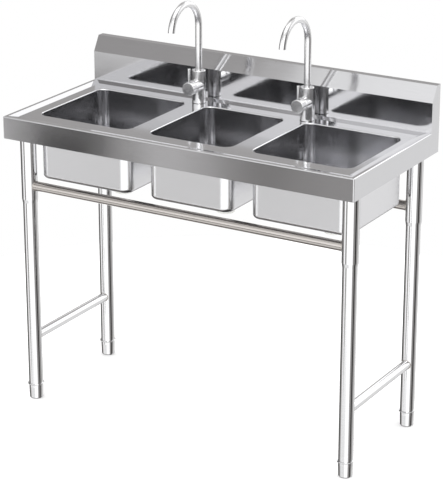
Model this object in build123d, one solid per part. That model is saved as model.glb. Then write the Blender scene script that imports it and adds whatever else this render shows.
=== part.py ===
"""Three compartment sink: a pressed stainless worktop with a splash upstand on four tube legs,
three welded bowls with basket strainers, and two single lever mixer taps.

Millimetres. +X to the right, +Y to the back (the wall side), +Z up.
The origin is on the floor, under the middle of the worktop.
"""
from build123d import *
from math import cos, radians, sin, sqrt
import os

os.makedirs("parts", exist_ok=True)

# ---------------------------------------------------------------- worktop
WIDTH = 1000.0
DEPTH = 460.0
DECK_Z = 790.0            # top of the raised rim
APRON = 58.0              # height of the folded edge round the worktop
SHEET = 1.2               # worktop sheet
EDGE_R = 2.5              # outside radius of the folded edges
RETURN = 13.0             # inward fold at the foot of the aprons
RIM = 10.0                # raised rim round the pressed deck
SLOPE = 18.0              # plan width of the pressed slope inside the rim
RECESS = 4.0              # depth of the pressed deck
RISER_Y = 186.5           # front face of the splash upstand
RISER_H = 77.0            # height of its vertical part above the rim
SPLASH_H = 117.0          # height of its top above the rim
SPLASH_TOP_Y = 209.5      # front edge of its flat top
LIP = 18.0                # fold down behind the flat top

# ---------------------------------------------------------------- bowls
OUTER_BOWL = 272.0        # inside width of the left and right bowls
MIDDLE_BOWL = 236.0       # inside width of the middle bowl
DIVIDER = 57.0            # between two bowls' inside walls
ROW_SHIFT = 6.0           # the row of bowls sits this far right of the middle
BOWL_FRONT = -158.5
BOWL_LENGTH = 287.0       # inside, front to back
BOWL_DEPTH = 170.0        # from the pressed deck to the bowl's floor
BOWL_SHEET = 1.0
CORNER_R = 26.0           # upright corners of a bowl, inside
FLOOR_R = 10.0            # round between walls and floor, inside
SHOULDER_R = 2.5          # rolled shoulder at the bowl's mouth
SHOULDER_H = 6.0
SHOULDER_LAND = 0.01      # flat left between the rolled shoulder and the deck's cut edge

# ---------------------------------------------------------------- drains
DRAIN_Y = 25.0
SEAT_R = 58.0             # pressed seat for the drain flange
SEAT_DROP = 3.0
FLANGE_R = 56.0
CUP_R = 41.0              # outside of the drain cup
CUP_WALL = 1.2
CUP_DROP = 38.0           # drain cup below the seat
NECK_R = 19.0             # outlet neck of the cup
GASKET = 2.0
OUTLET_R = 23.9           # outside of a G 1 1/2 thread
OUTLET_LENGTH = 18.0
OUTLET_BORE_R = 17.0
BASKET_R = 37.0
BASKET_RIM_R = 43.0
BASKET_DEPTH = 28.0
KNOB_R = 9.0
KNOB_HEIGHT = 14.0

# ---------------------------------------------------------------- stand
LEG_X = 465.0
LEG_Y = 172.7
LEG_R = 19.0              # 38 mm tube
TUBE_WALL = 1.2
LEG_FOOT_Z = 43.0         # lower end of the leg tube
LEG_TOP_Z = 640.0         # upper end of the leg tube, inside its sleeve
SLEEVE_R = 21.2
SLEEVE_LOW_Z = 552.0
SLEEVE_TAPER = 9.0
FIT_GAP = 0.15            # round a tube that slides into another one
RAIL_R = 12.5             # 25 mm tube
RAIL_Z = 597.0
STRETCHER_Z = 174.5
GUSSET = 3.0              # gusset plate thickness
GUSSET_REACH = 65.0       # its arms, measured from the leg's axis
SCREW_R = 3.0
SCREW_Z = 622.0

# ---------------------------------------------------------------- levelling feet
FOOT_R = 19.0
FOOT_TIP_R = 18.0
FOOT_EDGE = 2.5           # round at the foot's lower edge
FOOT_TOP_Z = 39.7
INSERT_FLANGE_R = 22.0
INSERT_FLANGE_Z = 40.0
INSERT_TOP_Z = 70.0
STEM_R = 6.0
STEM_TOP_Z = 84.0
STEM_BORE_R = 6.05

# ---------------------------------------------------------------- taps
TAP_X = {"left": -147.0, "right": 172.0}
TAP_Y = 147.0
TAP_R = 18.0              # upright body
HANDLE_R = 17.6           # handle and its barrel
TAP_TOP_Z = 873.0
TAP_GASKET = 1.0
TAP_HOLE_R = 14.0         # hole through the deck
SHANK_R = 13.0
SHANK_LENGTH = 42.0       # below the tap body
SHANK_SOCKET = 8.0        # screwed into the tap body
INLET_R = 4.5             # bore of an M10 x 1 hose socket
INLET_X = 6.0
INLET_DEPTH = 14.0
SPOUT_R = 9.0             # 18 mm tube
SPOUT_WALL = 1.2
SPOUT_SEAT_Z = 851.0      # bottom of the spout's socket
SPOUT_BORE_R = 9.05
SPOUT_BEND_R = 66.0
SPOUT_BEND_Z = 991.5
AERATOR_H = 3.0
SPOUT_ARC = 174.0         # degrees of bend; the mouth points a little forward

# ---------------------------------------------------------------- tap handles
HANDLE_Z = 833.0          # axis of the handle barrel
PIVOT_Y = 116.0           # tilt axis of the lever
BARREL_FACE_Y = 117.0
BONNET_R = 16.5
BONNET_SHELL = 2.5
BONNET_MOUTH_R = 10.5
CARTRIDGE_R = 13.0
CARTRIDGE_FRONT_Y = 120.0
CARTRIDGE_BACK_Y = 141.0
SPINDLE_R = 10.0
SPINDLE_BORE_R = 10.05
SPINDLE_FRONT_Y = 122.0
SPINDLE_BACK_Y = 127.0
EAR_IN = 4.5              # the spindle's two ears, measured from the axis
EAR_OUT = 7.0
EAR_Y = 112.0
TILT_PIN_R = 1.5
TILT_BORE_R = 1.55
STUB_R = 4.0
STUB_BACK_Y = 119.5
CAP_FRONT_Y = 93.5
CAP_BACK_Y = 109.4
CAP_HOLLOW_R = 17.0
ROD_R = 4.0
ROD_Y = 99.5
ROD_LOW_Z = 846.0
ROD_TOP_Z = 886.5

# ---------------------------------------------------------------- worked out
DECK_LOW_Z = DECK_Z - RECESS
DECK_UNDER_Z = DECK_LOW_Z - SHEET
APRON_LOW_Z = DECK_Z - APRON
HALF_W = WIDTH / 2
HALF_D = DEPTH / 2
BOWL_FLOOR_Z = DECK_LOW_Z - BOWL_DEPTH
SEAT_Z = BOWL_FLOOR_Z - SEAT_DROP
TAP_BASE_Z = DECK_LOW_Z + TAP_GASKET

BOWL_PITCH = OUTER_BOWL / 2 + DIVIDER + MIDDLE_BOWL / 2
BOWLS = {
    "left": (ROW_SHIFT - BOWL_PITCH, OUTER_BOWL),
    "middle": (ROW_SHIFT, MIDDLE_BOWL),
    "right": (ROW_SHIFT + BOWL_PITCH, OUTER_BOWL),
}
LEGS = {
    "front_left": (-LEG_X, -LEG_Y),
    "front_right": (LEG_X, -LEG_Y),
    "rear_left": (-LEG_X, LEG_Y),
    "rear_right": (LEG_X, LEG_Y),
}


# ---------------------------------------------------------------- simple solids
def block(x0, x1, y0, y1, z0, z1):
    """Box between two opposite corners, in either order."""
    centre = Pos((x0 + x1) / 2, (y0 + y1) / 2, (z0 + z1) / 2)
    return centre * Box(abs(x1 - x0), abs(y1 - y0), abs(z1 - z0))


def rod(x, y, z0, z1, radius):
    """Upright cylinder."""
    return Pos(x, y, (z0 + z1) / 2) * Cylinder(radius, z1 - z0)


def rod_along_x(x0, x1, y, z, radius):
    return Pos((x0 + x1) / 2, y, z) * Rot(0, 90, 0) * Cylinder(radius, x1 - x0)


def rod_along_y(x, y0, y1, z, radius):
    return Pos(x, (y0 + y1) / 2, z) * Rot(90, 0, 0) * Cylinder(radius, y1 - y0)


def slab(x, y, width, length, corner, z0, z1):
    """Upright prism with a rounded rectangle as its plan."""
    plan = Pos(x, y, z0) * RectangleRounded(width, length, corner)
    return extrude(plan, z1 - z0)


def turned(points, x, y):
    """Solid turned about an upright axis from its half section, as (radius, z) points."""
    section = make_face(Polyline(*[(r, 0, z) for r, z in points], close=True))
    return Pos(x, y, 0) * revolve(section, Axis.Z, 360)


def hexagon(x, y, z0, z1, across_flats):
    plan = Pos(x, y, z0) * RegularPolygon(across_flats / 2, 6, major_radius=False)
    return extrude(plan, z1 - z0)


def group(solids):
    """Identical pieces that share one node."""
    return Compound(children=[s for s in solids])


def save(name, shape):
    export_step(shape, f"parts/{name}.step")


# ---------------------------------------------------------------- worktop pieces
def pressed_recess(top_z, low_z, grow):
    """Frustum that the press sinks into the deck."""
    x_top = HALF_W - RIM + grow
    x_low = x_top - SLOPE
    front_top = -HALF_D + RIM - grow
    back_top = RISER_Y - 2.0 + grow
    middle_y = (front_top + back_top) / 2
    length_top = back_top - front_top
    length_low = length_top - 2 * SLOPE
    high = Pos(0, middle_y, top_z) * Rectangle(2 * x_top, length_top)
    low = Pos(0, middle_y, low_z) * Rectangle(2 * x_low, length_low)
    return loft([low, high])


def splash_profile(inset):
    """Side outline of the splash upstand, moved in by the sheet's thickness."""
    slant = sqrt((SPLASH_TOP_Y - RISER_Y) ** 2 + (SPLASH_H - RISER_H) ** 2)
    slant_rise = inset * (slant - (SPLASH_H - RISER_H)) / (SPLASH_TOP_Y - RISER_Y)
    top_shift = inset * (slant - (SPLASH_TOP_Y - RISER_Y)) / (SPLASH_H - RISER_H)
    return [
        (RISER_Y + inset, DECK_Z + RISER_H - slant_rise),
        (SPLASH_TOP_Y + top_shift, DECK_Z + SPLASH_H - inset),
        (HALF_D - inset, DECK_Z + SPLASH_H - inset),
    ]


def extrude_along_x(points, x0, x1):
    outline = make_face(Polyline(*[(x0, y, z) for y, z in points], close=True))
    return extrude(outline, x1 - x0, dir=(1, 0, 0))


def make_worktop():
    deck = block(-HALF_W, HALF_W, -HALF_D, RISER_Y + SHEET, APRON_LOW_Z, DECK_Z)
    top_edges = deck.edges().filter_by_position(Axis.Z, DECK_Z, DECK_Z)
    front_and_sides = [e for e in top_edges if e.center().Y < RISER_Y]
    corners = deck.edges().filter_by(Axis.Z).filter_by(lambda e: e.center().Y < 0)
    deck = fillet(front_and_sides + list(corners), EDGE_R)
    inner_x = HALF_W - SHEET
    inner_y = HALF_D - SHEET
    hollow = block(-inner_x, inner_x, -inner_y, RISER_Y + SHEET, APRON_LOW_Z + SHEET, DECK_Z - SHEET)
    pressed = pressed_recess(DECK_Z - SHEET, DECK_UNDER_Z, 0)
    mouth_x = HALF_W - RETURN
    mouth = block(-mouth_x, mouth_x, -HALF_D + RETURN, RISER_Y + SHEET, APRON_LOW_Z, APRON_LOW_Z + SHEET)
    deck = deck - pressed_recess(DECK_Z, DECK_LOW_Z, 0) - (hollow - pressed) - mouth

    outer = splash_profile(0.0)
    inner = splash_profile(SHEET)
    lip_z = DECK_Z + SPLASH_H - LIP
    foot_z = DECK_Z - SHEET
    outline = [(RISER_Y, foot_z), *outer, (HALF_D, lip_z), (HALF_D - SHEET, lip_z)]
    outline += [*reversed(inner), (RISER_Y + SHEET, foot_z)]
    splash = extrude_along_x(outline, -inner_x, inner_x)

    sides = [
        block(side * inner_x, side * HALF_W, RISER_Y, HALF_D, APRON_LOW_Z, DECK_Z)
        for side in (-1, 1)
    ]
    returns = [
        block(side * mouth_x, side * inner_x, RISER_Y + SHEET, inner_y, APRON_LOW_Z, APRON_LOW_Z + SHEET)
        for side in (-1, 1)
    ]
    top = deck + splash
    for piece in sides + returns:
        top += piece

    for x, width in BOWLS.values():
        cut_w = width + 2 * SHOULDER_R
        cut_l = BOWL_LENGTH + 2 * SHOULDER_R
        y = BOWL_FRONT + BOWL_LENGTH / 2
        top -= slab(x, y, cut_w, cut_l, CORNER_R + SHOULDER_R, DECK_UNDER_Z - 1, DECK_LOW_Z + 1)
    for x in TAP_X.values():
        top -= rod(x, TAP_Y, DECK_UNDER_Z - 1, DECK_LOW_Z + 1, TAP_HOLE_R)
    return top


def make_end_cap(side):
    """Plate that closes one end of the splash upstand."""
    outline = [(RISER_Y, DECK_Z), *splash_profile(0.0), (HALF_D, DECK_Z)]
    x0 = HALF_W - SHEET if side > 0 else -HALF_W
    return extrude_along_x(outline, x0, x0 + SHEET)


def make_back_panel():
    top_z = DECK_Z + SPLASH_H - LIP
    x = HALF_W - SHEET
    return block(-x, x, HALF_D - SHEET, HALF_D, APRON_LOW_Z, top_z)


def make_bowl(x, width):
    """Pressed bowl with a rolled shoulder at its mouth and a seat for its drain."""
    y = BOWL_FRONT + BOWL_LENGTH / 2
    under_z = BOWL_FLOOR_Z - BOWL_SHEET
    out_w = width + 2 * BOWL_SHEET
    out_l = BOWL_LENGTH + 2 * BOWL_SHEET
    shell = slab(x, y, out_w, out_l, CORNER_R + BOWL_SHEET, under_z, DECK_LOW_Z)
    shell = fillet(shell.faces().sort_by(Axis.Z)[0].edges(), FLOOR_R + BOWL_SHEET)
    rim_w = width + 2 * SHOULDER_R
    rim_l = BOWL_LENGTH + 2 * SHOULDER_R
    rim_z = DECK_LOW_Z - SHOULDER_H
    shell += slab(x, y, rim_w, rim_l, CORNER_R + SHOULDER_R, rim_z, DECK_LOW_Z)
    room = slab(x, y, width, BOWL_LENGTH, CORNER_R, BOWL_FLOOR_Z, DECK_LOW_Z)
    room = fillet(room.faces().sort_by(Axis.Z)[0].edges(), FLOOR_R)
    bowl = shell - room
    mouth = [
        e for e in bowl.edges().filter_by_position(Axis.Z, DECK_LOW_Z, DECK_LOW_Z)
        if abs(e.center().X - x) <= width / 2 + 0.01
        and abs(e.center().Y - y) <= BOWL_LENGTH / 2 + 0.01
        and not on_rim(e, x, y, rim_w, rim_l)
    ]
    bowl = fillet(mouth, SHOULDER_R - SHOULDER_LAND)
    bowl += rod(x, DRAIN_Y, SEAT_Z - BOWL_SHEET, BOWL_FLOOR_Z, SEAT_R + BOWL_SHEET)
    bowl -= rod(x, DRAIN_Y, SEAT_Z, BOWL_FLOOR_Z + 1, SEAT_R)
    bowl -= rod(x, DRAIN_Y, SEAT_Z - BOWL_SHEET - 1, SEAT_Z + 1, CUP_R)
    return bowl


def on_rim(edge, x, y, rim_w, rim_l):
    """True where an edge lies on the outside of the bowl's shoulder."""
    corner = CORNER_R + SHOULDER_R
    for t in (0.0, 0.5, 1.0):
        p = edge.position_at(t)
        dx = max(abs(p.X - x) - (rim_w / 2 - corner), 0)
        dy = max(abs(p.Y - y) - (rim_l / 2 - corner), 0)
        if sqrt(dx * dx + dy * dy) > corner - 1:
            return True
    return False


# ---------------------------------------------------------------- drain pieces
def make_drain_cup(x):
    """Flange, cup and outlet neck, drawn from one sheet."""
    top = SEAT_Z + GASKET / 2 + CUP_WALL
    low = SEAT_Z - CUP_DROP
    inside = CUP_R - CUP_WALL
    points = [
        (FLANGE_R, SEAT_Z + GASKET / 2), (FLANGE_R, top - 0.4), (FLANGE_R - 2, top),
        (inside, top), (inside, low + 6), (inside - 5, low + CUP_WALL),
        (NECK_R - CUP_WALL, low + CUP_WALL), (NECK_R - CUP_WALL, low - 8), (NECK_R, low - 8),
        (NECK_R, low), (inside - 4.5, low), (CUP_R - FIT_GAP, low + 5.6),
        (CUP_R - FIT_GAP, SEAT_Z + GASKET / 2),
    ]
    return turned(points, x, DRAIN_Y)


def make_drain_gasket(x):
    """Rubber ring between the drain flange and its seat."""
    points = [
        (CUP_R + 1, SEAT_Z), (FLANGE_R - 3, SEAT_Z),
        (FLANGE_R - 3, SEAT_Z + GASKET / 2), (CUP_R + 1, SEAT_Z + GASKET / 2),
    ]
    return turned(points, x, DRAIN_Y)


def make_drain_nut(x):
    """Ring nut that pulls the drain cup down from under the bowl."""
    top = SEAT_Z - BOWL_SHEET
    nut = rod(x, DRAIN_Y, top - 12, top, CUP_R + 8) - rod(x, DRAIN_Y, top - 13, top + 1, CUP_R)
    for turn in range(6):
        lug = Pos(x, DRAIN_Y, 0) * Rot(0, 0, 60 * turn) * block(CUP_R + 7, CUP_R + 12, -4, 4, top - 12, top)
        nut += lug
    return nut


def make_tailpiece(x):
    """Coupling with a G 1 1/2 outside thread for the waste pipe."""
    neck_low = SEAT_Z - CUP_DROP - 8
    top = SEAT_Z - CUP_DROP
    low = neck_low - OUTLET_LENGTH
    points = [
        (NECK_R + FIT_GAP, top), (NECK_R + 8, top), (NECK_R + 8, neck_low),
        (OUTLET_R, neck_low), (OUTLET_R, low + 1), (OUTLET_R - 1, low),
        (OUTLET_BORE_R, low), (OUTLET_BORE_R, neck_low), (NECK_R + FIT_GAP, neck_low),
    ]
    return turned(points, x, DRAIN_Y)


def basket_top():
    return SEAT_Z + GASKET / 2 + CUP_WALL + 0.3


def make_basket(x):
    """Lift-out strainer cup with a rim that rests on the drain flange."""
    top = basket_top() + 1.0
    low = top - BASKET_DEPTH
    points = [
        (0, low), (BASKET_R - 6, low), (BASKET_R, low + 7), (BASKET_R + 1.2, top - 1),
        (BASKET_RIM_R, top - 1), (BASKET_RIM_R, top), (BASKET_R, top),
        (BASKET_R - 1, low + 7.3), (BASKET_R - 6.4, low + 1), (0, low + 1),
    ]
    cup = turned(points, x, DRAIN_Y)
    for ring, count in ((13, 6), (24, 12)):
        for i in range(count):
            hole = Pos(x, DRAIN_Y, 0) * Rot(0, 0, 360 * i / count) * rod(ring, 0, low - 1, low + 2, 2.5)
            cup -= hole
    for i in range(12):
        slot = block(BASKET_R - 4, BASKET_R + 4, -2, 2, low + 9, top - 6)
        cup -= Pos(x, DRAIN_Y, 0) * Rot(0, 0, 30 * i) * slot
    cup -= rod(x, DRAIN_Y, low - 1, low + 2, 2.5)
    return cup


def make_knob(x):
    """Pull knob riveted through the middle of the strainer."""
    low = basket_top() + 1.0 - BASKET_DEPTH
    top = basket_top() + KNOB_HEIGHT
    points = [
        (0, low - 1.5), (5, low - 1.5), (5, low), (2.5, low), (2.5, low + 1), (5, low + 1),
        (5, low + 3), (3, low + 4), (3, top - 8), (6, top - 6), (KNOB_R, top - 5),
        (KNOB_R, top - 2), (KNOB_R - 2.5, top), (0, top),
    ]
    return turned(points, x, DRAIN_Y)


# ---------------------------------------------------------------- stand pieces
def make_sleeve(x, y):
    """Socket tube welded under the worktop; the leg's end stops on a step inside it."""
    bore = LEG_R + FIT_GAP
    points = [
        (bore, SLEEVE_LOW_Z), (LEG_R + 0.8, SLEEVE_LOW_Z), (SLEEVE_R, SLEEVE_LOW_Z + SLEEVE_TAPER),
        (SLEEVE_R, DECK_UNDER_Z), (LEG_R - TUBE_WALL, DECK_UNDER_Z),
        (LEG_R - TUBE_WALL, LEG_TOP_Z), (bore, LEG_TOP_Z),
    ]
    sleeve = turned(points, x, y)
    return sleeve - rod_along_y(x, y, y + SLEEVE_R + 1, SCREW_Z, SCREW_R)


def make_leg(x, y):
    outer = rod(x, y, LEG_FOOT_Z, LEG_TOP_Z, LEG_R)
    return outer - rod(x, y, LEG_FOOT_Z - 1, LEG_TOP_Z + 1, LEG_R - TUBE_WALL)


def make_rail(y):
    """Upper rail, its ends cut to the round of the sleeves that it is welded to."""
    rail = rod_along_x(-LEG_X, LEG_X, y, RAIL_Z, RAIL_R)
    rail -= rod_along_x(-LEG_X - 1, LEG_X + 1, y, RAIL_Z, RAIL_R - TUBE_WALL)
    for x in (-LEG_X, LEG_X):
        rail -= rod(x, y, RAIL_Z - 2 * RAIL_R, RAIL_Z + 2 * RAIL_R, SLEEVE_R)
    return rail


def make_stretcher(x):
    """Lower side tube, its ends cut to the round of the legs that it is welded to."""
    tube = rod_along_y(x, -LEG_Y, LEG_Y, STRETCHER_Z, RAIL_R)
    tube -= rod_along_y(x, -LEG_Y - 1, LEG_Y + 1, STRETCHER_Z, RAIL_R - TUBE_WALL)
    for y in (-LEG_Y, LEG_Y):
        tube -= rod(x, y, STRETCHER_Z - 2 * RAIL_R, STRETCHER_Z + 2 * RAIL_R, LEG_R)
    return tube


def make_gusset(x, y):
    """L-shaped plate in the corner of the aprons, welded round the sleeve."""
    sx = 1 if x > 0 else -1
    sy = 1 if y > 0 else -1
    z0 = APRON_LOW_Z + SHEET
    wall_x = sx * (HALF_W - SHEET)
    wall_y = sy * (HALF_D - SHEET)
    arm_x = x - sx * GUSSET_REACH
    arm_y = y - sy * GUSSET_REACH
    along_side = block(x, wall_x, arm_y, wall_y, z0, z0 + GUSSET)
    along_end = block(arm_x, wall_x, y, wall_y, z0, z0 + GUSSET)
    return along_side + along_end - rod(x, y, z0 - 1, z0 + GUSSET + 1, SLEEVE_R)


def make_sleeve_screw(x, y):
    """Socket set screw that grips the leg inside its sleeve."""
    tip = y + LEG_R
    screw = rod_along_y(x, tip, tip + 6, SCREW_Z, SCREW_R)
    socket = extrude(RegularPolygon(1.5, 6, major_radius=False), 3, both=True)
    return screw - Pos(x, tip + 6, SCREW_Z) * Rot(90, 0, 0) * socket


def make_insert(x, y):
    """Threaded plug in the leg's lower end."""
    r = LEG_R - TUBE_WALL - FIT_GAP
    points = [
        (STEM_BORE_R, INSERT_FLANGE_Z), (INSERT_FLANGE_R - 0.8, INSERT_FLANGE_Z),
        (INSERT_FLANGE_R, INSERT_FLANGE_Z + 0.8), (INSERT_FLANGE_R, LEG_FOOT_Z - 0.8),
        (INSERT_FLANGE_R - 0.8, LEG_FOOT_Z), (r, LEG_FOOT_Z), (r, INSERT_TOP_Z - 2),
        (r - 2, INSERT_TOP_Z), (STEM_BORE_R, INSERT_TOP_Z),
    ]
    return turned(points, x, y)


def make_foot(x, y):
    """Bullet foot with its screw stem; turning it sets the height of its corner."""
    points = [
        (0, 0), (FOOT_TIP_R - FOOT_EDGE, 0), (FOOT_TIP_R - FOOT_EDGE / 3, FOOT_EDGE / 3),
        (FOOT_TIP_R, FOOT_EDGE), (FOOT_R, FOOT_TOP_Z - 8), (FOOT_R, FOOT_TOP_Z - 1), (FOOT_R - 1, FOOT_TOP_Z),
        (STEM_R, FOOT_TOP_Z), (STEM_R, STEM_TOP_Z - 1), (STEM_R - 1, STEM_TOP_Z), (0, STEM_TOP_Z),
    ]
    return turned(points, x, y)


# ---------------------------------------------------------------- tap pieces
def make_tap_body(x):
    """Cast body: an upright barrel and a short one that points to the front."""
    upright = rod(x, TAP_Y, TAP_BASE_Z, TAP_TOP_Z, TAP_R)
    upright = chamfer(upright.faces().sort_by(Axis.Z)[-1].edges(), 1.0)
    body = upright + rod_along_y(x, BARREL_FACE_Y, TAP_Y, HANDLE_Z, HANDLE_R)
    body -= rod(x, TAP_Y, TAP_BASE_Z - 1, TAP_BASE_Z + SHANK_SOCKET, SHANK_R)
    body -= rod(x, TAP_Y, SPOUT_SEAT_Z, TAP_TOP_Z + 1, SPOUT_BORE_R)
    body -= rod_along_y(x, BARREL_FACE_Y - 1, CARTRIDGE_BACK_Y, HANDLE_Z, CARTRIDGE_R)
    return body


def make_shank(x):
    """Threaded stem through the deck, with two hose sockets in its lower end."""
    low = TAP_BASE_Z - SHANK_LENGTH
    shank = rod(x, TAP_Y, low, TAP_BASE_Z + SHANK_SOCKET, SHANK_R)
    for side in (-1, 1):
        shank -= rod(x + side * INLET_X, TAP_Y, low - 1, low + INLET_DEPTH, INLET_R)
    return shank


def make_tap_gasket(x):
    outer = rod(x, TAP_Y, DECK_LOW_Z, TAP_BASE_Z, TAP_R - 0.5)
    return outer - rod(x, TAP_Y, DECK_LOW_Z - 1, TAP_BASE_Z + 1, SHANK_R + 0.5)


def make_tap_washer(x):
    outer = rod(x, TAP_Y, DECK_UNDER_Z - 2, DECK_UNDER_Z, TAP_R)
    return outer - rod(x, TAP_Y, DECK_UNDER_Z - 3, DECK_UNDER_Z + 1, SHANK_R + FIT_GAP)


def make_tap_nut(x):
    top = DECK_UNDER_Z - 2
    nut = hexagon(x, TAP_Y, top - 9, top, 34)
    return nut - rod(x, TAP_Y, top - 10, top + 1, SHANK_R + FIT_GAP)


def spout_point(degrees):
    """Point of the spout's bend, as (y, z), this many degrees round it."""
    turn = radians(degrees)
    y = TAP_Y - SPOUT_BEND_R + SPOUT_BEND_R * cos(turn)
    return y, SPOUT_BEND_Z + SPOUT_BEND_R * sin(turn)


def make_spout(x):
    """Gooseneck tube that turns in the top of the body."""
    start = SPOUT_SEAT_Z + 1
    middle_y, middle_z = spout_point(SPOUT_ARC / 2)
    end_y, end_z = spout_point(SPOUT_ARC)
    riser = Line((x, TAP_Y, start), (x, TAP_Y, SPOUT_BEND_Z))
    bend = ThreePointArc((x, TAP_Y, SPOUT_BEND_Z), (x, middle_y, middle_z), (x, end_y, end_z))
    ring = Circle(SPOUT_R) - Circle(SPOUT_R - SPOUT_WALL)
    return sweep(Plane((x, TAP_Y, start)) * ring, path=Wire([riser, bend]))


def make_aerator(x):
    """Perforated plug in the spout's mouth."""
    y, z = spout_point(SPOUT_ARC)
    plug = rod(0, 0, 0, AERATOR_H, SPOUT_R - SPOUT_WALL - FIT_GAP)
    for ring, count in ((0, 1), (3.4, 6)):
        for i in range(count):
            plug -= Rot(0, 0, 360 * i / count) * rod(ring, 0, -1, AERATOR_H + 1, 1.1)
    return Pos(x, y, z) * Rot(SPOUT_ARC - 180, 0, 0) * plug


def make_bonnet(x):
    """Domed nut that holds the cartridge in the handle barrel."""
    ball = Pos(x, PIVOT_Y, HANDLE_Z) * Sphere(BONNET_R)
    ball -= Pos(x, PIVOT_Y, HANDLE_Z) * Sphere(BONNET_R - BONNET_SHELL)
    ball -= block(x - 30, x + 30, BARREL_FACE_Y, BARREL_FACE_Y + 30, HANDLE_Z - 30, HANDLE_Z + 30)
    ball -= rod_along_y(x, PIVOT_Y - 30, PIVOT_Y - 8, HANDLE_Z, BONNET_MOUTH_R)
    spigot = rod_along_y(x, BARREL_FACE_Y - 1, CARTRIDGE_FRONT_Y, HANDLE_Z, CARTRIDGE_R)
    spigot += rod_along_y(x, BARREL_FACE_Y - 1, BARREL_FACE_Y, HANDLE_Z, BONNET_R - 0.5)
    spigot -= rod_along_y(x, BARREL_FACE_Y - 2, CARTRIDGE_FRONT_Y + 1, HANDLE_Z, CARTRIDGE_R - 1.5)
    return ball + spigot


def make_cartridge(x):
    """Mixing cartridge; the spindle turns in its front pocket."""
    body = rod_along_y(x, CARTRIDGE_FRONT_Y, CARTRIDGE_BACK_Y, HANDLE_Z, CARTRIDGE_R)
    return body - rod_along_y(x, CARTRIDGE_FRONT_Y - 1, SPINDLE_BACK_Y + 0.3, HANDLE_Z, SPINDLE_BORE_R)


def make_spindle(x):
    """Turns with the handle to set the temperature and carries the lever's tilt pin."""
    disc = rod_along_y(x, SPINDLE_FRONT_Y, SPINDLE_BACK_Y, HANDLE_Z, SPINDLE_R)
    for side in (-1, 1):
        x_in = x + side * EAR_IN
        x_out = x + side * EAR_OUT
        disc += block(x_in, x_out, EAR_Y, SPINDLE_FRONT_Y, HANDLE_Z - 3.5, HANDLE_Z + 3.5)
    return disc + rod_along_x(x - EAR_OUT, x + EAR_OUT, PIVOT_Y, HANDLE_Z, TILT_PIN_R)


def make_handle_cap(x):
    """Round handle; its hollow follows the bonnet's dome, and its stub tilts on the spindle."""
    cap = rod_along_y(x, CAP_FRONT_Y, CAP_BACK_Y, HANDLE_Z, HANDLE_R)
    cap = fillet(cap.faces().sort_by(Axis.Y)[0].edges(), 1.2)
    cap -= Pos(x, PIVOT_Y, HANDLE_Z) * Sphere(CAP_HOLLOW_R)
    cap += rod_along_y(x, CAP_FRONT_Y + 2, STUB_BACK_Y, HANDLE_Z, STUB_R)
    cap -= rod_along_x(x - STUB_R - 1, x + STUB_R + 1, PIVOT_Y, HANDLE_Z, TILT_BORE_R)
    return cap - rod(x, ROD_Y, ROD_LOW_Z, HANDLE_Z + TAP_R + 1, ROD_R)


def make_lever_rod(x):
    """Lever pin screwed into the handle."""
    pin = rod(x, ROD_Y, ROD_LOW_Z, ROD_TOP_Z, ROD_R)
    return fillet(pin.faces().sort_by(Axis.Z)[-1].edges(), 1.2)


# ---------------------------------------------------------------- write every node
save("worktop", make_worktop())
save("back_panel", make_back_panel())
save("end_cap_left", make_end_cap(-1))
save("end_cap_right", make_end_cap(1))

for name, (bowl_x, bowl_w) in BOWLS.items():
    save(f"bowl_{name}", make_bowl(bowl_x, bowl_w))
    save(f"drain_cup_{name}", make_drain_cup(bowl_x))
    save(f"strainer_basket_{name}", make_basket(bowl_x))
    save(f"strainer_knob_{name}", make_knob(bowl_x))
    save(f"drain_tailpiece_{name}", make_tailpiece(bowl_x))
bowl_xs = [bowl_x for bowl_x, _ in BOWLS.values()]
save("drain_gaskets", group([make_drain_gasket(bx) for bx in bowl_xs]))
save("drain_nuts", group([make_drain_nut(bx) for bx in bowl_xs]))

for name, (leg_x, leg_y) in LEGS.items():
    save(f"leg_sleeve_{name}", make_sleeve(leg_x, leg_y))
    save(f"leg_{name}", make_leg(leg_x, leg_y))
    save(f"foot_{name}", make_foot(leg_x, leg_y))
save("leg_gussets", group([make_gusset(lx, ly) for lx, ly in LEGS.values()]))
save("sleeve_screws", group([make_sleeve_screw(lx, ly) for lx, ly in LEGS.values()]))
save("foot_inserts", group([make_insert(lx, ly) for lx, ly in LEGS.values()]))
save("front_rail", make_rail(-LEG_Y))
save("rear_rail", make_rail(LEG_Y))
save("side_stretcher_left", make_stretcher(-LEG_X))
save("side_stretcher_right", make_stretcher(LEG_X))

for name, tap_x in TAP_X.items():
    save(f"tap_body_{name}", make_tap_body(tap_x))
    save(f"tap_spout_{name}", make_spout(tap_x))
    save(f"tap_aerator_{name}", make_aerator(tap_x))
    save(f"tap_bonnet_{name}", make_bonnet(tap_x))
    save(f"tap_cartridge_{name}", make_cartridge(tap_x))
    save(f"tap_spindle_{name}", make_spindle(tap_x))
    save(f"tap_handle_{name}", make_handle_cap(tap_x))
    save(f"tap_lever_{name}", make_lever_rod(tap_x))
tap_xs = list(TAP_X.values())
save("tap_shanks", group([make_shank(tx) for tx in tap_xs]))
save("tap_gaskets", group([make_tap_gasket(tx) for tx in tap_xs]))
save("tap_washers", group([make_tap_washer(tx) for tx in tap_xs]))
save("tap_nuts", group([make_tap_nut(tx) for tx in tap_xs]))
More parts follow.
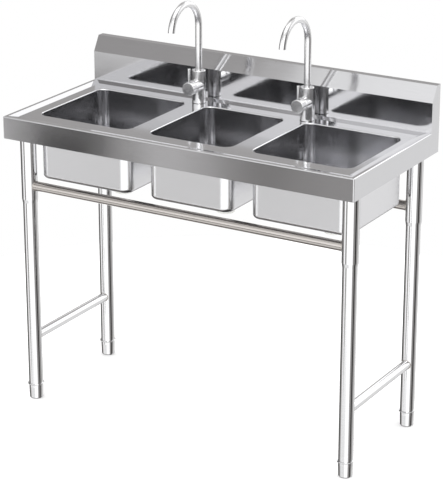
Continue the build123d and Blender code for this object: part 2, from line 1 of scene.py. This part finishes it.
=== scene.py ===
import bpy
import bmesh
from math import cos, pi, radians, sin
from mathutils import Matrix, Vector


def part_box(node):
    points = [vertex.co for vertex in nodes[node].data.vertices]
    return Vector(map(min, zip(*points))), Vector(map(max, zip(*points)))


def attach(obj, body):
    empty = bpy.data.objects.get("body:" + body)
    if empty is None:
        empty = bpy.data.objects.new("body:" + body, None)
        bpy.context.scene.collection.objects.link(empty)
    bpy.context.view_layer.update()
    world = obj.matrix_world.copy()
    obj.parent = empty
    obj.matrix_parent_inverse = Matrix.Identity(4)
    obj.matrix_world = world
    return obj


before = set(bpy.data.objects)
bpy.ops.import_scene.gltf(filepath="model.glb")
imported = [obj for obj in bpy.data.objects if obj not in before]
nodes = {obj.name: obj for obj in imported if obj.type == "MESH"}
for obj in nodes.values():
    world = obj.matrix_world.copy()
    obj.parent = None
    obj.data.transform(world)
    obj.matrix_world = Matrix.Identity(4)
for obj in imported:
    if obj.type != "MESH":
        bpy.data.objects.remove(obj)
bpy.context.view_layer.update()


# ---- Camera: a long lens from the front right, well above a standing person's eyes.
# The sink is seen three quarters from its right, and its three bowls are looked into.
camera_data = bpy.data.cameras.new("camera")
camera_data.sensor_fit = "HORIZONTAL"
camera_data.sensor_width = 36.0
camera_data.lens = 166.1
camera = bpy.data.objects.new("camera", camera_data)
camera.location = (2.5170, -4.2314, 2.2567)
camera.rotation_euler = (radians(90 - 19.90), 0, radians(30.66))
bpy.context.scene.collection.objects.link(camera)
bpy.context.scene.camera = camera
bpy.context.scene.view_settings.view_transform = "Standard"


# ---- Studio: a white room with soft grey flags round it, which give polished steel its dark bands.
# The flags only show in the metal; straight behind the sink the room is white. The floor is a pale disc.
def add_node(tree, kind, links=None, **settings):
    """Adds one node. settings are its own properties; links are its inputs, each a value or an output."""
    made = tree.nodes.new(kind)
    for name, value in settings.items():
        setattr(made, name, value)
    for key, value in (links or {}).items():
        socket = made.inputs[key]
        if isinstance(value, bpy.types.NodeSocket):
            tree.links.new(value, socket)
        else:
            socket.default_value = value
    return made


def linear(hex_colour):
    """sRGB hex to the linear colour that shaders take."""
    parts = [int(hex_colour[i:i + 2], 16) / 255 for i in (1, 3, 5)]
    return tuple(p / 12.92 if p <= 0.04045 else ((p + 0.055) / 1.055) ** 2.4 for p in parts) + (1.0,)


# Each flag: the middle and half width of its bearing and how soft its sides are, the same for its height
# above the horizon, all in degrees, and how light it is. Bearing 0 is the front, 90 the right, -90 the left.
# Each lies over the ones before it.
WHITE = 1.5
FLAGS = [
    # soft grey towards the floor at the front, and behind
    (-30, 30, 20, -45, 18, 8, 1.0),
    (150, 26, 14, -22, 16, 8, 0.94),
    (120, 12, 10, -22, 20, 8, 0.42),
    (186, 10, 10, -22, 20, 8, 0.50),
    (-174, 6, 8, -22, 20, 8, 0.50),
    # a grey ceiling
    (0, 180, 1, 62, 30, 14, 0.92),
    # each side: a grey flag with a nearly black strip on it, for the dark line down each tube
    (86, 18, 12, -20, 50, 10, 0.36),
    (99, 6.5, 6, -20, 50, 10, 0.02),
    (-90, 24, 12, -20, 50, 10, 0.36),
    (-98, 9, 7, -20, 50, 10, 0.02),
    # front left, low: mirrored by the upright faces at the front, so it shades the apron and the splash
    (-32, 10, 4, -15, 6, 3, 0.40),
    (-39.5, 2.4, 1.2, -15, 7, 3, 0.80),
    (-35.1, 0.4, 2.0, -15, 7, 3, 0.02),
    (-32, 0.4, 2.0, -15, 7, 3, 0.72),
    (-29.7, 0.5, 1.4, -15, 7, 3, 0.24),
    (-35.5, 2.2, 1.6, -12.6, 2.0, 1.2, 0.95),
    # behind: mirrored by the level deck, and further up by what slopes back from it
    (-150, 14, 6, 10, 13, 4, 0.48),
    (-150, 30, 15, 46, 12, 8, 0.45),
    (172, 16, 8, 30, 5, 5, 2.2),
    (-178, 8, 8, 30, 5, 5, 2.2),
    (-158, 6, 7, 27, 3, 4, 1.5),
    # front left, high: mirrored by faces that lean back, such as the slant on top of the splash
    (-40, 6, 10, 17, 6, 6, 1.05),
    (-50, 15, 2, 36, 6, 6, 0.44),
    (-28, 6, 2.5, 38, 8, 6, 1.15),
    (-55, 22, 10, 66, 16, 6, 1.00),
    # a bright window at the front right, which shows in the bowls, and a dark ground straight below
    (31, 10, 6, 26, 9, 6, 3.6),
    (0, 180, 10, -80, 22, 10, 0.20),
]
world = bpy.data.worlds.new("white_studio")
world.use_nodes = True
bpy.context.scene.world = world
room = world.node_tree
room.nodes.clear()
direction = add_node(room, "ShaderNodeTexCoord").outputs["Generated"]
axes = add_node(room, "ShaderNodeSeparateXYZ", {0: direction})
to_front = add_node(room, "ShaderNodeMath", {0: axes.outputs["Y"], 1: -1.0}, operation="MULTIPLY")
to_side = axes.outputs["X"]
bearing = add_node(room, "ShaderNodeMath", {0: to_side, 1: to_front.outputs[0]}, operation="ARCTAN2")
height = add_node(room, "ShaderNodeMath", {0: axes.outputs["Z"]}, operation="ARCSINE")


def falling_away(angle, middle, half_width, softness):
    """1 within half_width of the middle, falling smoothly to 0 over softness, all in degrees."""
    off = add_node(room, "ShaderNodeMath", {0: angle, 1: radians(middle)}, operation="SUBTRACT")
    far = add_node(room, "ShaderNodeMath", {0: off.outputs[0]}, operation="ABSOLUTE")
    limits = {
        "Value": far.outputs[0], "From Min": radians(half_width), "From Max": radians(half_width + softness),
        "To Min": 1.0, "To Max": 0.0}
    return add_node(room, "ShaderNodeMapRange", limits, interpolation_type="SMOOTHSTEP").outputs["Result"]


light = WHITE
for middle, half_width, side_softness, up, half_height, top_softness, lightness in FLAGS:
    across = falling_away(bearing.outputs[0], middle, half_width, side_softness)
    upright = falling_away(height.outputs[0], up, half_height, top_softness)
    amount = add_node(room, "ShaderNodeMath", {0: across, 1: upright}, operation="MULTIPLY").outputs[0]
    covered = {0: amount, 2: light, 3: lightness}
    light = add_node(room, "ShaderNodeMix", covered, data_type="FLOAT").outputs["Result"]
# Darker flags are a little warmer. Plain surfaces are lit by the bare white room, and the camera sees
# the room white.
warmth = {0: light, 6: linear("#F8F3F0"), 7: linear("#FFFFFF")}
warm = add_node(room, "ShaderNodeMix", warmth, data_type="RGBA")
shaded = add_node(room, "ShaderNodeVectorMath", {0: warm.outputs[2], 1: light}, operation="MULTIPLY")
ray = add_node(room, "ShaderNodeLightPath").outputs
unflagged = {0: ray["Is Diffuse Ray"], 6: shaded.outputs[0], 7: (WHITE, WHITE, WHITE, 1)}
unflagged = add_node(room, "ShaderNodeMix", unflagged, data_type="RGBA").outputs[2]
plain = {0: ray["Is Camera Ray"], 6: unflagged, 7: (1, 1, 1, 1)}
plain = add_node(room, "ShaderNodeMix", plain, data_type="RGBA")
background = add_node(room, "ShaderNodeBackground", {"Color": plain.outputs[2], "Strength": 1.0})
add_node(room, "ShaderNodeOutputWorld", {"Surface": background.outputs[0]})


def new_piece(name, bm, materials):
    """Turns a bmesh into an object in the scene, with smooth faces."""
    mesh = bpy.data.meshes.new(name)
    bmesh.ops.recalc_face_normals(bm, faces=bm.faces)
    for face in bm.faces:
        face.smooth = True
    bm.to_mesh(mesh)
    bm.free()
    for material in materials:
        mesh.materials.append(material)
    piece = bpy.data.objects.new(name, mesh)
    bpy.context.scene.collection.objects.link(piece)
    return piece


FLOOR_RADIUS = 1.35
floor_paint = bpy.data.materials.new("matt_white_painted_floor")
floor_paint.use_nodes = True
paint = floor_paint.node_tree
paint.nodes.clear()
# Rolled matt emulsion: nearly even, with cloudy patches about 170 mm across.
PATCHES_PER_METRE = 6.0
mottle = add_node(paint, "ShaderNodeTexNoise", {"Scale": PATCHES_PER_METRE, "Detail": 3.0})
tone = add_node(paint, "ShaderNodeMapRange", {"Value": mottle.outputs["Fac"], "To Min": 0.93, "To Max": 0.97})
matt = add_node(paint, "ShaderNodeBsdfPrincipled", {"Base Color": tone.outputs["Result"], "Roughness": 0.9})
add_node(paint, "ShaderNodeOutputMaterial", {"Surface": matt.outputs[0]})
disc = bmesh.new()
bmesh.ops.create_circle(disc, cap_ends=True, radius=FLOOR_RADIUS, segments=96)
floor = new_piece("floor", disc, [floor_paint])
floor.location.z = -0.0005   # just under the feet
floor.visible_glossy = False

softbox = bpy.data.lights.new("overhead_softbox", "AREA")
softbox.size = 2.4
softbox.energy = 40
softbox_place = Vector((0.2, -0.4, 4.4))
softbox_aim = Vector((0, 0, 0.7))
overhead = bpy.data.objects.new("overhead_softbox", softbox)
overhead.location = softbox_place
overhead.rotation_euler = (softbox_aim - softbox_place).to_track_quat("-Z", "Y").to_euler()
bpy.context.scene.collection.objects.link(overhead)


# ---- Worktop sheet: 304 stainless, satin brushed along its length before it was pressed and folded.
# The folds turn the grain upright on the two ends; the grain smears every reflection across itself.
# The end caps and the back panel are cut from the same sheet.
def steel(name, colour, roughness, spread, grain_mm, length_mm, slope, upright_ends=False, waves_mm=150,
          wave_depth_mm=0.0, bowl=None):
    """Stainless steel with a grain of grain_mm by length_mm, and waves of waves_mm left by the press.
    roughness goes up and down by about spread, and slope is how strongly the grain shows in reflections.
    bowl is for drawn bowls: the bowl's middle, and the colour and roughness of its inside."""
    material = bpy.data.materials.new(name)
    material.use_nodes = True
    tree = material.node_tree
    tree.nodes.clear()
    place = add_node(tree, "ShaderNodeTexCoord").outputs["Object"]
    normal = add_node(tree, "ShaderNodeNewGeometry").outputs["Normal"]

    across, along = 1000 / grain_mm, 1000 / length_mm
    lengthways = {"Vector": place, "Scale": (along, across, across)}
    grain_place = add_node(tree, "ShaderNodeMapping", lengthways).outputs[0]
    if upright_ends:
        upright = add_node(tree, "ShaderNodeMapping", {"Vector": place, "Scale": (across, across, along)})
        sideways = add_node(tree, "ShaderNodeSeparateXYZ", {0: normal}).outputs["X"]
        is_end = add_node(tree, "ShaderNodeMath", {0: sideways}, operation="ABSOLUTE")
        mostly_sideways = {0: is_end.outputs[0], 1: 0.7}
        is_end = add_node(tree, "ShaderNodeMath", mostly_sideways, operation="GREATER_THAN")
        picked = {0: is_end.outputs[0], 4: grain_place, 5: upright.outputs[0]}
        grain_place = add_node(tree, "ShaderNodeMix", picked, data_type="VECTOR").outputs["Result"]
    brushing = {"Vector": grain_place, "Scale": 1.0, "Detail": 3.0, "Roughness": 0.6}
    grain = add_node(tree, "ShaderNodeTexNoise", brushing).outputs["Fac"]
    swells = {"Vector": place, "Scale": 1000 / waves_mm, "Detail": 1.0}
    waves = add_node(tree, "ShaderNodeTexNoise", swells).outputs["Fac"]

    rough = add_node(tree, "ShaderNodeMapRange", {
        "Value": waves, "From Min": 0.0, "From Max": 1.0,
        "To Min": roughness - 2 * spread, "To Max": roughness + 2 * spread}).outputs["Result"]
    tone = add_node(tree, "ShaderNodeMapRange", {"Value": grain, "From Min": 0.3, "From Max": 0.7})
    light_steel = linear(colour)
    grain_shade = 0.93
    dull_steel = tuple(c * grain_shade for c in light_steel[:3]) + (1.0,)
    tint = {0: tone.outputs["Result"], 6: dull_steel, 7: light_steel}
    base = add_node(tree, "ShaderNodeMix", tint, data_type="RGBA").outputs[2]
    wavy = 1.0
    if bowl:
        inside, base, rough = drawn_bowl_sides(tree, place, normal, base, rough, bowl)
        wavy = inside
    swell = add_node(tree, "ShaderNodeBump", {
        "Height": waves, "Strength": wavy, "Distance": wave_depth_mm / 1000})
    relief = add_node(tree, "ShaderNodeBump", {
        "Height": grain, "Strength": slope, "Distance": grain_mm / 1000 / 2,
        "Normal": swell.outputs["Normal"]})
    metal = add_node(tree, "ShaderNodeBsdfPrincipled", {
        "Base Color": base, "Metallic": 1.0, "Roughness": rough, "Normal": relief.outputs["Normal"]})
    add_node(tree, "ShaderNodeOutputMaterial", {"Surface": metal.outputs[0]})
    return material


def finish_node(name, material):
    """Gives a CAD node its material in every slot."""
    mesh = nodes[name].data
    mesh.materials.clear()
    mesh.materials.append(material)


# Satin brushed: soft-edged mirror images with a faint streak. The real grit leaves lines too fine to show,
# so the grain is drawn 0.8 mm wide.
satin_sheet = steel("satin_brushed_stainless_sheet", "#D6D6D8", 0.09, 0.015, 0.8, 60, 0.03,
                    upright_ends=True, wave_depth_mm=0.3)
for name in ("worktop", "back_panel", "end_cap_left", "end_cap_right"):
    finish_node(name, satin_sheet)


# ---- Bowls: deep drawn from thinner stainless and welded into the worktop. The insides are polished after
# drawing, and slow waves 160 mm long bend their reflections. The outsides are left even and dull from the
# press; the rounds under them are painted darker, a painted shade.
# How squarely a face has to look along one axis: a flat one does, and a round at a bowl's edge doesn't.
FLAT_FROM = 0.97
ROUND_BELOW = 0.80


def drawn_bowl_sides(tree, place, normal, base, rough, bowl):
    """The two sides of a drawn bowl: 1 where the face is inside, then the colour and the roughness.
    The polished inside has its own; outside, the rounds under the bowl are painted darker, a painted shade."""
    middle, inside_colour, inside_roughness = bowl
    outwards = add_node(tree, "ShaderNodeVectorMath", {0: place, 1: middle}, operation="SUBTRACT").outputs[0]
    facing = {0: outwards, 1: normal}
    turned_out = add_node(tree, "ShaderNodeVectorMath", facing, operation="DOT_PRODUCT").outputs["Value"]
    turned_in = add_node(tree, "ShaderNodeMath", {0: turned_out, 1: 0.0}, operation="LESS_THAN").outputs[0]
    upward = add_node(tree, "ShaderNodeSeparateXYZ", {0: normal}).outputs["Z"]
    faces_up = add_node(tree, "ShaderNodeMath", {0: upward, 1: 0.1}, operation="GREATER_THAN").outputs[0]
    inside = add_node(tree, "ShaderNodeMath", {0: turned_in, 1: faces_up}, operation="MAXIMUM").outputs[0]
    tint = {0: inside, 6: base, 7: linear(inside_colour)}
    base = add_node(tree, "ShaderNodeMix", tint, data_type="RGBA").outputs[2]

    around = add_node(tree, "ShaderNodeVectorMath", {0: normal}, operation="ABSOLUTE").outputs[0]
    square = add_node(tree, "ShaderNodeSeparateXYZ", {0: around}).outputs
    sides = {0: square["X"], 1: square["Y"]}
    widest = add_node(tree, "ShaderNodeMath", sides, operation="MAXIMUM").outputs[0]
    widest = add_node(tree, "ShaderNodeMath", {0: widest, 1: square["Z"]}, operation="MAXIMUM").outputs[0]
    rounded = add_node(tree, "ShaderNodeMapRange", {
        "Value": widest, "From Min": ROUND_BELOW, "From Max": FLAT_FROM,
        "To Min": 1.0, "To Max": 0.0}).outputs["Result"]
    # The painted shade is at full strength as soon as a face leans a little downwards.
    lean = {0: upward, 1: -5.0}
    low = add_node(tree, "ShaderNodeMath", lean, operation="MULTIPLY", use_clamp=True).outputs[0]
    low_round_shade_mask = add_node(tree, "ShaderNodeMath", {0: rounded, 1: low}, operation="MULTIPLY").outputs[0]
    outer = {0: low_round_shade_mask, 1: inside}
    painted_shade_round = add_node(tree, "ShaderNodeMath", outer, operation="SUBTRACT", use_clamp=True).outputs[0]
    # Painted shade: the rounds under the bowl are painted dark grey, #77777A.
    tint = {0: painted_shade_round, 6: base, 7: linear("#77777A")}
    base = add_node(tree, "ShaderNodeMix", tint, data_type="RGBA").outputs[2]
    blend = {0: inside, 2: rough, 3: inside_roughness}
    rough = add_node(tree, "ShaderNodeMix", blend, data_type="FLOAT").outputs["Result"]
    return inside, base, rough


for name in ("bowl_left", "bowl_middle", "bowl_right"):
    low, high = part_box(name)
    drawn_steel = steel("deep_drawn_stainless_" + name, "#E8E8EA", 0.27, 0.0, 1.4, 60, 0.0, waves_mm=160,
                        wave_depth_mm=0.4, bowl=((low + high) / 2, "#D6D6D8", 0.155))
    finish_node(name, drawn_steel)


# ---- Drains: pressed stainless cups with lift-out strainers, sealed by rubber rings and pulled down by ring
# nuts under the bowls. The nuts and the tailpieces below them are white polypropylene.
def moulded(name, colour, roughness, grain_mm, depth, ior=1.49):
    """Moulded plastic or rubber with the fine sparked texture of its mould, grain_mm across."""
    material = bpy.data.materials.new(name)
    material.use_nodes = True
    tree = material.node_tree
    tree.nodes.clear()
    place = add_node(tree, "ShaderNodeTexCoord").outputs["Object"]
    sparks = {"Vector": place, "Scale": 1000 / grain_mm, "Detail": 2.0}
    grain = add_node(tree, "ShaderNodeTexNoise", sparks).outputs["Fac"]
    tone = add_node(tree, "ShaderNodeMapRange", {"Value": grain, "From Min": 0.3, "From Max": 0.7})
    raised = linear(colour)
    sunken_shade = 0.9
    sunken = tuple(c * sunken_shade for c in raised[:3]) + (1.0,)
    tint = {0: tone.outputs["Result"], 6: sunken, 7: raised}
    base = add_node(tree, "ShaderNodeMix", tint, data_type="RGBA").outputs[2]
    relief = add_node(tree, "ShaderNodeBump", {
        "Height": grain, "Strength": depth, "Distance": grain_mm / 1000 / 2})
    body = add_node(tree, "ShaderNodeBsdfPrincipled", {
        "Base Color": base, "Roughness": roughness, "IOR": ior, "Normal": relief.outputs["Normal"]})
    add_node(tree, "ShaderNodeOutputMaterial", {"Surface": body.outputs[0]})
    return material


# Bright from the press: reflections a little softer than the deck's, with short marks.
bright_pressing = steel("bright_pressed_stainless", "#DADADC", 0.14, 0.03, 1.0, 6, 0.05)
# Polypropylene has a waxy half-matt surface; nitrile rubber is nearly black and dull.
white_polypropylene = moulded("moulded_white_polypropylene", "#E6E6E2", 0.45, 1.2, 0.15)
nitrile_rubber = moulded("moulded_nitrile_rubber", "#1C1C1C", 0.7, 1.5, 0.2, 1.52)
for where in ("left", "middle", "right"):
    for part in ("drain_cup", "strainer_basket", "strainer_knob"):
        finish_node(f"{part}_{where}", bright_pressing)
    finish_node(f"drain_tailpiece_{where}", white_polypropylene)
finish_node("drain_nuts", white_polypropylene)
finish_node("drain_gaskets", nitrile_rubber)


# ---- Stand: legs, sleeves, feet and side stretchers are polished stainless, with a faint grain that runs
# round the legs. The two rails are as they came from the tube mill, a little duller; their colour is
# painted darker and warmer, a painted shade.
polished_tube = steel("polished_stainless_tube", "#E2E2E3", 0.08, 0.01, 1.2, 30, 0.03)
# Painted shade: the rails' steel is painted darker and warmer than the legs'.
rail_tube_painted_shade = steel("drawn_stainless_rail_tube", "#C6C1BD", 0.17, 0.02, 1.2, 30, 0.03)
for name in nodes:
    if name.startswith(("leg_", "foot_", "side_stretcher")):
        finish_node(name, polished_tube)
    if name.endswith("_rail"):
        finish_node(name, rail_tube_painted_shade)

# The set screws in the sleeves are cut from bright drawn bar, which leaves fine marks along them.
drawn_bar = steel("bright_drawn_stainless_bar", "#CCCCCE", 0.2, 0.03, 30, 0.8, 0.08)
finish_node("sleeve_screws", drawn_bar)


# ---- Weld beads: where the rails meet the sleeves and the stretchers meet the legs, run with filler wire.
# Each is a thin rippled rope of stainless on the saddle line between the two tubes, which the heat left a
# faint straw colour.
BEAD_R = 0.0011
RIPPLES = 44
RIPPLE_SWELL = 0.16           # part of the bead's radius
bead_steel = steel("tig_welded_stainless_bead", "#C9C4BE", 0.25, 0.04, 1.0, 4, 0.10)


def weld_bead(name, post, post_radius, tube_radius, axis, out):
    """Rippled rope round the end of a level tube that meets an upright post.
    axis is the one that the tube runs along, 0 for X or 1 for Y, and out is the way it leaves the post."""
    bm = bmesh.new()
    steps, sides = RIPPLES * 4, 8
    rings = []
    for i in range(steps):
        turn = 2 * pi * i / steps
        off = tube_radius * cos(turn)
        reach = (post_radius ** 2 - off ** 2) ** 0.5
        on_post = Vector((off, off, tube_radius * sin(turn)))
        on_post[axis] = reach * out
        centre = Vector(post) + on_post
        outward = Vector((cos(turn), cos(turn), sin(turn)))
        outward[axis] = 0
        forward = Vector((0, 0, 0))
        forward[axis] = out
        radius = BEAD_R * (1 + RIPPLE_SWELL * sin(turn * RIPPLES))
        ring = []
        for k in range(sides):
            angle = 2 * pi * k / sides
            ring.append(bm.verts.new(centre + radius * (cos(angle) * outward + sin(angle) * forward)))
        rings.append(ring)
    for i in range(steps):
        here, there = rings[i], rings[(i + 1) % steps]
        for k in range(sides):
            bm.faces.new((here[k], here[(k + 1) % sides], there[(k + 1) % sides], there[k]))
    bead = new_piece(name, bm, [bead_steel])
    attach(bead, "stand")


for side, inward_x in (("left", 1), ("right", -1)):
    for end, inward_y in (("front", 1), ("rear", -1)):
        sleeve_low, sleeve_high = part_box(f"leg_sleeve_{end}_{side}")
        rail_low, rail_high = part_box(f"{end}_rail")
        post = (sleeve_low + sleeve_high) / 2
        sleeve_radius = (sleeve_high.x - sleeve_low.x) / 2
        rail_radius = (rail_high.z - rail_low.z) / 2
        rail_end = (post.x, post.y, (rail_low.z + rail_high.z) / 2)
        weld_bead(f"weld_rail_{end}_{side}", rail_end, sleeve_radius, rail_radius, 0, inward_x)
        leg_low, leg_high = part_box(f"leg_{end}_{side}")
        tube_low, tube_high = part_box(f"side_stretcher_{side}")
        leg_radius = (leg_high.x - leg_low.x) / 2
        tube_radius = (tube_high.z - tube_low.z) / 2
        tube_end = (post.x, post.y, (tube_low.z + tube_high.z) / 2)
        weld_bead(f"weld_stretcher_{end}_{side}", tube_end, leg_radius, tube_radius, 1, inward_y)


# ---- Taps: two single-lever mixers. What shows is stainless, ground to a satin; brass shanks, nuts and
# washers hold them under the deck, and the cartridges and spindles inside are acetal.
satin_tap = steel("satin_ground_stainless_tap", "#E8E8E9", 0.24, 0.03, 0.8, 8, 0.03)
# Turned brass is softly bright, with short tool marks; acetal is smooth and slightly waxy.
brass = steel("turned_brass_fitting", "#C9A45C", 0.3, 0.04, 1.0, 5, 0.08)
grey_acetal = moulded("moulded_grey_acetal", "#5B6673", 0.4, 1.2, 0.1, 1.48)
for where in ("left", "right"):
    for part in ("tap_body", "tap_spout", "tap_bonnet", "tap_handle", "tap_lever"):
        finish_node(f"{part}_{where}", satin_tap)
    for part in ("tap_cartridge", "tap_spindle"):
        finish_node(f"{part}_{where}", grey_acetal)
    finish_node(f"tap_aerator_{where}", white_polypropylene)
for name in ("tap_shanks", "tap_nuts", "tap_washers"):
    finish_node(name, brass)
finish_node("tap_gaskets", nitrile_rubber)
